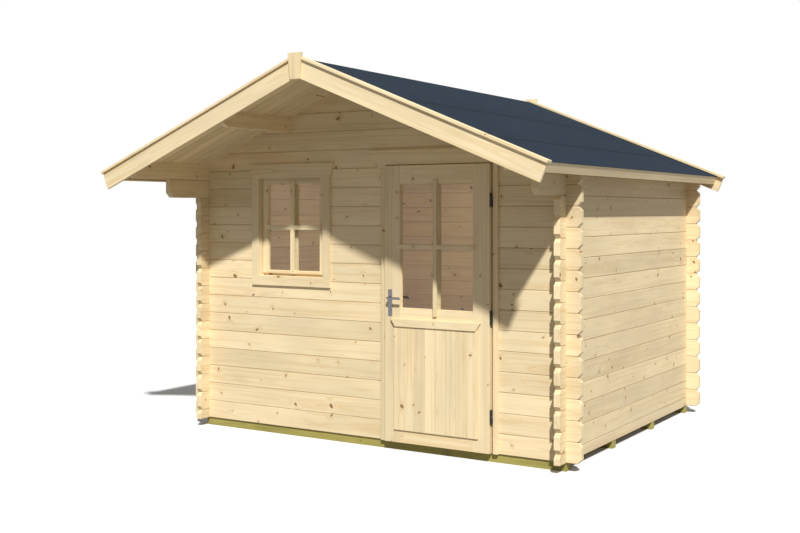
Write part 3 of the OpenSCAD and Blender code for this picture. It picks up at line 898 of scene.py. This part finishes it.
class HOUSE_OT_door_leaf(HouseOperator):
    """Stiles, rails, panel boards, drip cap, bars and beads of the door"""

    bl_idname = "house.door_leaf"
    bl_label = "Door Leaf"

    def execute(self, context):
        joinery = context.scene.house_joinery
        edge = context.scene.house_wood.board_edge
        for seed, node in enumerate(("door_stiles", "door_rails", "door_drip_cap"), 91):
            timber(node, "Joinery Spruce", "joinery", edge, seed)
        bm = mesh_of("door_panel")
        low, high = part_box("door_panel")
        width = (high.x - low.x) / joinery.panel_boards
        round_edges(bm, edge)
        places = [low.x + width * n for n in range(1, joinery.panel_boards)]
        half, depth = PANEL_GROOVE
        cut_grooves(bm, X, places, half, depth, [-Y, Y])
        lay_grain(bm, 94, lambda m: (math.floor((m.x - low.x) / width),),
                  lambda key, centre: Z, groove_joint(X, low.x, width, half))
        show(bm, "door_panel_boards", "door", "Joinery Spruce", ["door_panel"])
        cross_bars("door_bars", 95)
        pane_low, pane_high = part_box("door_glass")
        front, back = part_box("door_rails")[0].y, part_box("door_rails")[1].y
        glazing_bead("door_bead_outside", "door_glass", "door", joinery.door_bead,
                     front + DOOR_BEAD_SET[0], pane_low.y, 96)
        glazing_bead("door_bead_inside", "door_glass", "door", joinery.door_bead,
                     back - DOOR_BEAD_SET[1], pane_high.y, 97)
        return {"FINISHED"}


class HOUSE_OT_panes(HouseOperator):
    """Glass of the door and the window"""

    bl_idname = "house.panes"
    bl_label = "Glass"

    def execute(self, context):
        for node in ("door_glass", "window_glass"):
            bm = mesh_of(node)
            round_edges(bm, THIN_EDGE, 1)
            show(bm, node + "_pane", body_of(node), "Float Glass", [node])
        return {"FINISHED"}


def screw_head(bm, place, facing, radius):
    """A domed screw head with a recess, looking along facing."""
    turn = Z.rotation_difference(facing).to_matrix().to_4x4()
    made = bmesh.ops.create_cone(bm, cap_ends=True, segments=16, radius1=radius,
                                 radius2=radius * 0.7, depth=1.2 * MM,
                                 matrix=Matrix.Translation(place) @ turn)
    faces = {f for v in made["verts"] for f in v.link_faces}
    bm.normal_update()
    top = [f for f in faces if f.normal.dot(facing) > 0.95]
    bmesh.ops.inset_region(bm, faces=top, thickness=radius * 0.35, depth=-0.6 * MM)


class HOUSE_OT_metalwork(HouseOperator):
    """Hinges and lock plates with their screws"""

    bl_idname = "house.metalwork"
    bl_label = "Hinges and Lock Plates"

    def execute(self, context):
        for node in ("leaf_hinges", "frame_hinges"):
            bm = mesh_of(node)
            round_edges(bm, THIN_EDGE, 1)
            show(bm, node + "_iron", body_of(node), "Dark Iron", [node],
                 smooth=True)
        bm = mesh_of("lock_plates")
        round_edges(bm, PLATE_EDGE)
        show(bm, "lock_plates_steel", "door", "Satin Steel",
             ["lock_plates"], smooth=True)
        low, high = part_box("lock_plates")
        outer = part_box("door_stiles")[0].y - PLATE_T
        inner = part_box("door_stiles")[1].y + PLATE_T
        bm = bmesh.new()
        for z in (low.z + SCREW_INSET, high.z - SCREW_INSET):
            for y, facing in ((outer, -Y), (inner, Y)):
                screw_head(bm, Vector(((low.x + high.x) / 2, y, z)), facing, SCREW_RADIUS)
        show(bm, "lock_plate_screws", "door", "Satin Steel", smooth=True)
        return {"FINISHED"}


class HOUSE_OT_lever(HouseOperator):
    """Lever handle, bent out of round bar on both sides of the leaf"""

    bl_idname = "house.lever"
    bl_label = "Lever Handle"

    def execute(self, context):
        low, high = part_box("door_lever")
        radius, bend = 7.8 * MM, 12 * MM
        hub_inset, grip_inset, tip_inset = 9 * MM, 7 * MM, 1 * MM
        axis = Vector((low.x + hub_inset, (low.y + high.y) / 2, (low.z + high.z) / 2))
        grip_y = low.y + grip_inset
        tip = high.x - tip_inset
        bm = bmesh.new()
        made = bmesh.ops.create_circle(bm, cap_ends=False, segments=24, radius=radius,
                                       matrix=Matrix.Translation(axis)
                                       @ Matrix.Rotation(math.pi / 2, 4, "X"))
        ring = list({e for v in made["verts"] for e in v.link_edges})
        ring, verts = self.extend(bm, ring, Vector((0, grip_y + bend - axis.y, 0)))
        turned = bmesh.ops.spin(bm, geom=ring + verts, axis=(0, 0, 1), angle=math.pi / 2,
                                steps=8, dvec=(0, 0, 0), use_duplicate=False,
                                cent=(axis.x + bend, grip_y + bend, axis.z))
        ring = [g for g in turned["geom_last"] if isinstance(g, bmesh.types.BMEdge)]
        grip = tip - (axis.x + bend)
        # Share of the grip's length, and how flat and tall the bar gets there
        for share, flat, tall in ((0.25, 0.88, 1.06), (0.45, 0.94, 1.04), (0.24, 0.96, 0.98),
                                  (0.04, 0.82, 0.85), (0.02, 0.55, 0.60)):
            ring, verts = self.extend(bm, ring, Vector((grip * share, 0, 0)))
            middle = sum((v.co for v in verts), Vector()) / len(verts)
            bmesh.ops.scale(bm, vec=(1, flat, tall), verts=verts,
                            space=Matrix.Translation(-middle))
        bmesh.ops.edgeloop_fill(bm, edges=ring)
        bmesh.ops.mirror(bm, geom=bm.verts[:] + bm.edges[:] + bm.faces[:], axis="Y",
                         matrix=Matrix.Translation(-axis), merge_dist=MERGE / 2)
        bmesh.ops.remove_doubles(bm, verts=bm.verts, dist=MERGE / 2)
        bmesh.ops.recalc_face_normals(bm, faces=bm.faces)
        show(bm, "lever_handle", "lever", "Satin Steel", ["door_lever"],
             smooth=True)
        return {"FINISHED"}

    @staticmethod
    def extend(bm, ring, step):
        """Draws a ring of edges out by one step."""
        grown = bmesh.ops.extrude_edge_only(bm, edges=ring)["geom"]
        verts = [g for g in grown if isinstance(g, bmesh.types.BMVert)]
        edges = [g for g in grown if isinstance(g, bmesh.types.BMEdge)]
        bmesh.ops.translate(bm, vec=step, verts=verts)
        new = set(verts)
        return [e for e in edges if set(e.verts) <= new], verts


class HOUSE_OT_stage(HouseOperator):
    """Pale floor, soft light, background and camera"""

    bl_idname = "house.stage"
    bl_label = "Stage"

    def execute(self, context):
        scene, stage = context.scene, context.scene.house_stage
        self.floor(scene, stage)
        self.background(scene, stage)
        lamp = bpy.data.lights.new("Sun", "SUN")
        lamp.energy, lamp.angle = stage.sun, stage.sun_angle
        sun = bpy.data.objects.new("Sun", lamp)
        sun.rotation_euler = Vector(stage.sun_way).to_track_quat("-Z", "Y").to_euler()
        scene.collection.objects.link(sun)
        self.room_light(scene, stage)
        optics = bpy.data.cameras.new("Camera")
        optics.lens, optics.sensor_width, optics.shift_y = stage.lens, SENSOR_WIDTH, stage.shift
        camera = bpy.data.objects.new("Camera", optics)
        camera.location = stage.camera_at
        camera.rotation_euler = (math.pi / 2, 0, stage.camera_turn)
        scene.collection.objects.link(camera)
        scene.camera = camera
        scene.view_settings.view_transform = "Standard"
        return {"FINISHED"}

    @staticmethod
    def room_light(scene, stage):
        """A soft lamp in the middle of the room, so that it shows through the panes."""
        low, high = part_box("floor_deck")
        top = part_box("front_wall_left")[1].z
        lamp = bpy.data.lights.new("Room Light", "POINT")
        lamp.energy, lamp.shadow_soft_size = stage.room, 0.5
        lamp.color = stage.room_colour
        light = bpy.data.objects.new("Room Light", lamp)
        light.visible_camera = light.visible_transmission = light.visible_glossy = False
        light.location = ((low.x + high.x) / 2, (low.y + high.y) / 2, top * 0.75)
        scene.collection.objects.link(light)

    @staticmethod
    def seen(tree):
        """One where the camera, a reflection or a pane shows the surface."""
        path = tree.add("ShaderNodeLightPath").outputs
        shown = tree.calc("MAXIMUM", path["Is Camera Ray"], path["Is Glossy Ray"])
        return tree.calc("MAXIMUM", shown, path["Is Transmission Ray"])

    def floor(self, scene, stage):
        bm = bmesh.new()
        bmesh.ops.create_circle(bm, cap_ends=True, segments=96, radius=FLOOR_RADIUS)
        mesh = bpy.data.meshes.new("studio_floor")
        bm.to_mesh(mesh)
        bm.free()
        made, tree, surface = new_material("Studio Floor")
        colour = tree.mix(self.seen(tree), tuple(stage.floor), tuple(stage.floor_seen))
        shader = tree.add("ShaderNodeBsdfDiffuse", {"Color": colour})
        tree.feed(surface, shader.outputs["BSDF"])
        mesh.materials.append(made)
        floor = bpy.data.objects.new("studio_floor", mesh)
        scene.collection.objects.link(floor)
        floor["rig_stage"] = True

    def background(self, scene, stage):
        world = bpy.data.worlds.new("Studio")
        world.use_nodes = True
        world.node_tree.nodes.clear()
        tree = Tree(world.node_tree)
        strength = tree.add("ShaderNodeMapRange", {
            "Value": self.seen(tree), "To Min": stage.fill, "To Max": 1.0})
        light = tree.add("ShaderNodeBackground", {
            "Color": (1, 1, 1, 1), "Strength": strength.outputs["Result"]})
        out = tree.add("ShaderNodeOutputWorld")
        tree.feed(out.inputs["Surface"], light.outputs["Background"])
        scene.world = world


OPERATORS = (
    HOUSE_OT_walls, HOUSE_OT_roof_boards, HOUSE_OT_felt, HOUSE_OT_roof_trim, HOUSE_OT_base,
    HOUSE_OT_window, HOUSE_OT_door_casing, HOUSE_OT_door_leaf, HOUSE_OT_panes,
    HOUSE_OT_metalwork, HOUSE_OT_lever, HOUSE_OT_stage,
)
SETTINGS = (
    ("house_wood", WoodSettings), ("house_roof", RoofSettings),
    ("house_joinery", JoinerySettings), ("house_stage", StageSettings),
)


class HOUSE_PT_panel(bpy.types.Panel):
    """Lists the steps that finish the house"""

    bl_label = "Garden House"
    bl_space_type = "VIEW_3D"
    bl_region_type = "UI"
    bl_category = "Garden House"

    def draw(self, context):
        for operator in OPERATORS:
            self.layout.operator(operator.bl_idname)
        for name, settings in SETTINGS:
            box = self.layout.box()
            for prop in settings.__annotations__:
                box.prop(getattr(context.scene, name), prop)


def register():
    for name, settings in SETTINGS:
        bpy.utils.register_class(settings)
        setattr(bpy.types.Scene, name, PointerProperty(type=settings))
    for made in (*OPERATORS, HOUSE_PT_panel):
        bpy.utils.register_class(made)


def unregister():
    for made in (HOUSE_PT_panel, *reversed(OPERATORS)):
        bpy.utils.unregister_class(made)
    for name, settings in reversed(SETTINGS):
        delattr(bpy.types.Scene, name)
        bpy.utils.unregister_class(settings)


def main():
    register()
    bpy.ops.house.walls()
    bpy.ops.house.roof_boards()
    bpy.ops.house.felt()
    bpy.ops.house.roof_trim()
    bpy.ops.house.base()
    bpy.ops.house.window()
    bpy.ops.house.door_casing()
    bpy.ops.house.door_leaf()
    bpy.ops.house.panes()
    bpy.ops.house.metalwork()
    bpy.ops.house.lever()
    bpy.ops.house.stage()
    boxes = {"cad": CAD_BOX, "visual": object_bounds()}
    {name: [list(corner) for corner in box] for name, box in boxes.items()}


if __name__ == "__main__":
    main()
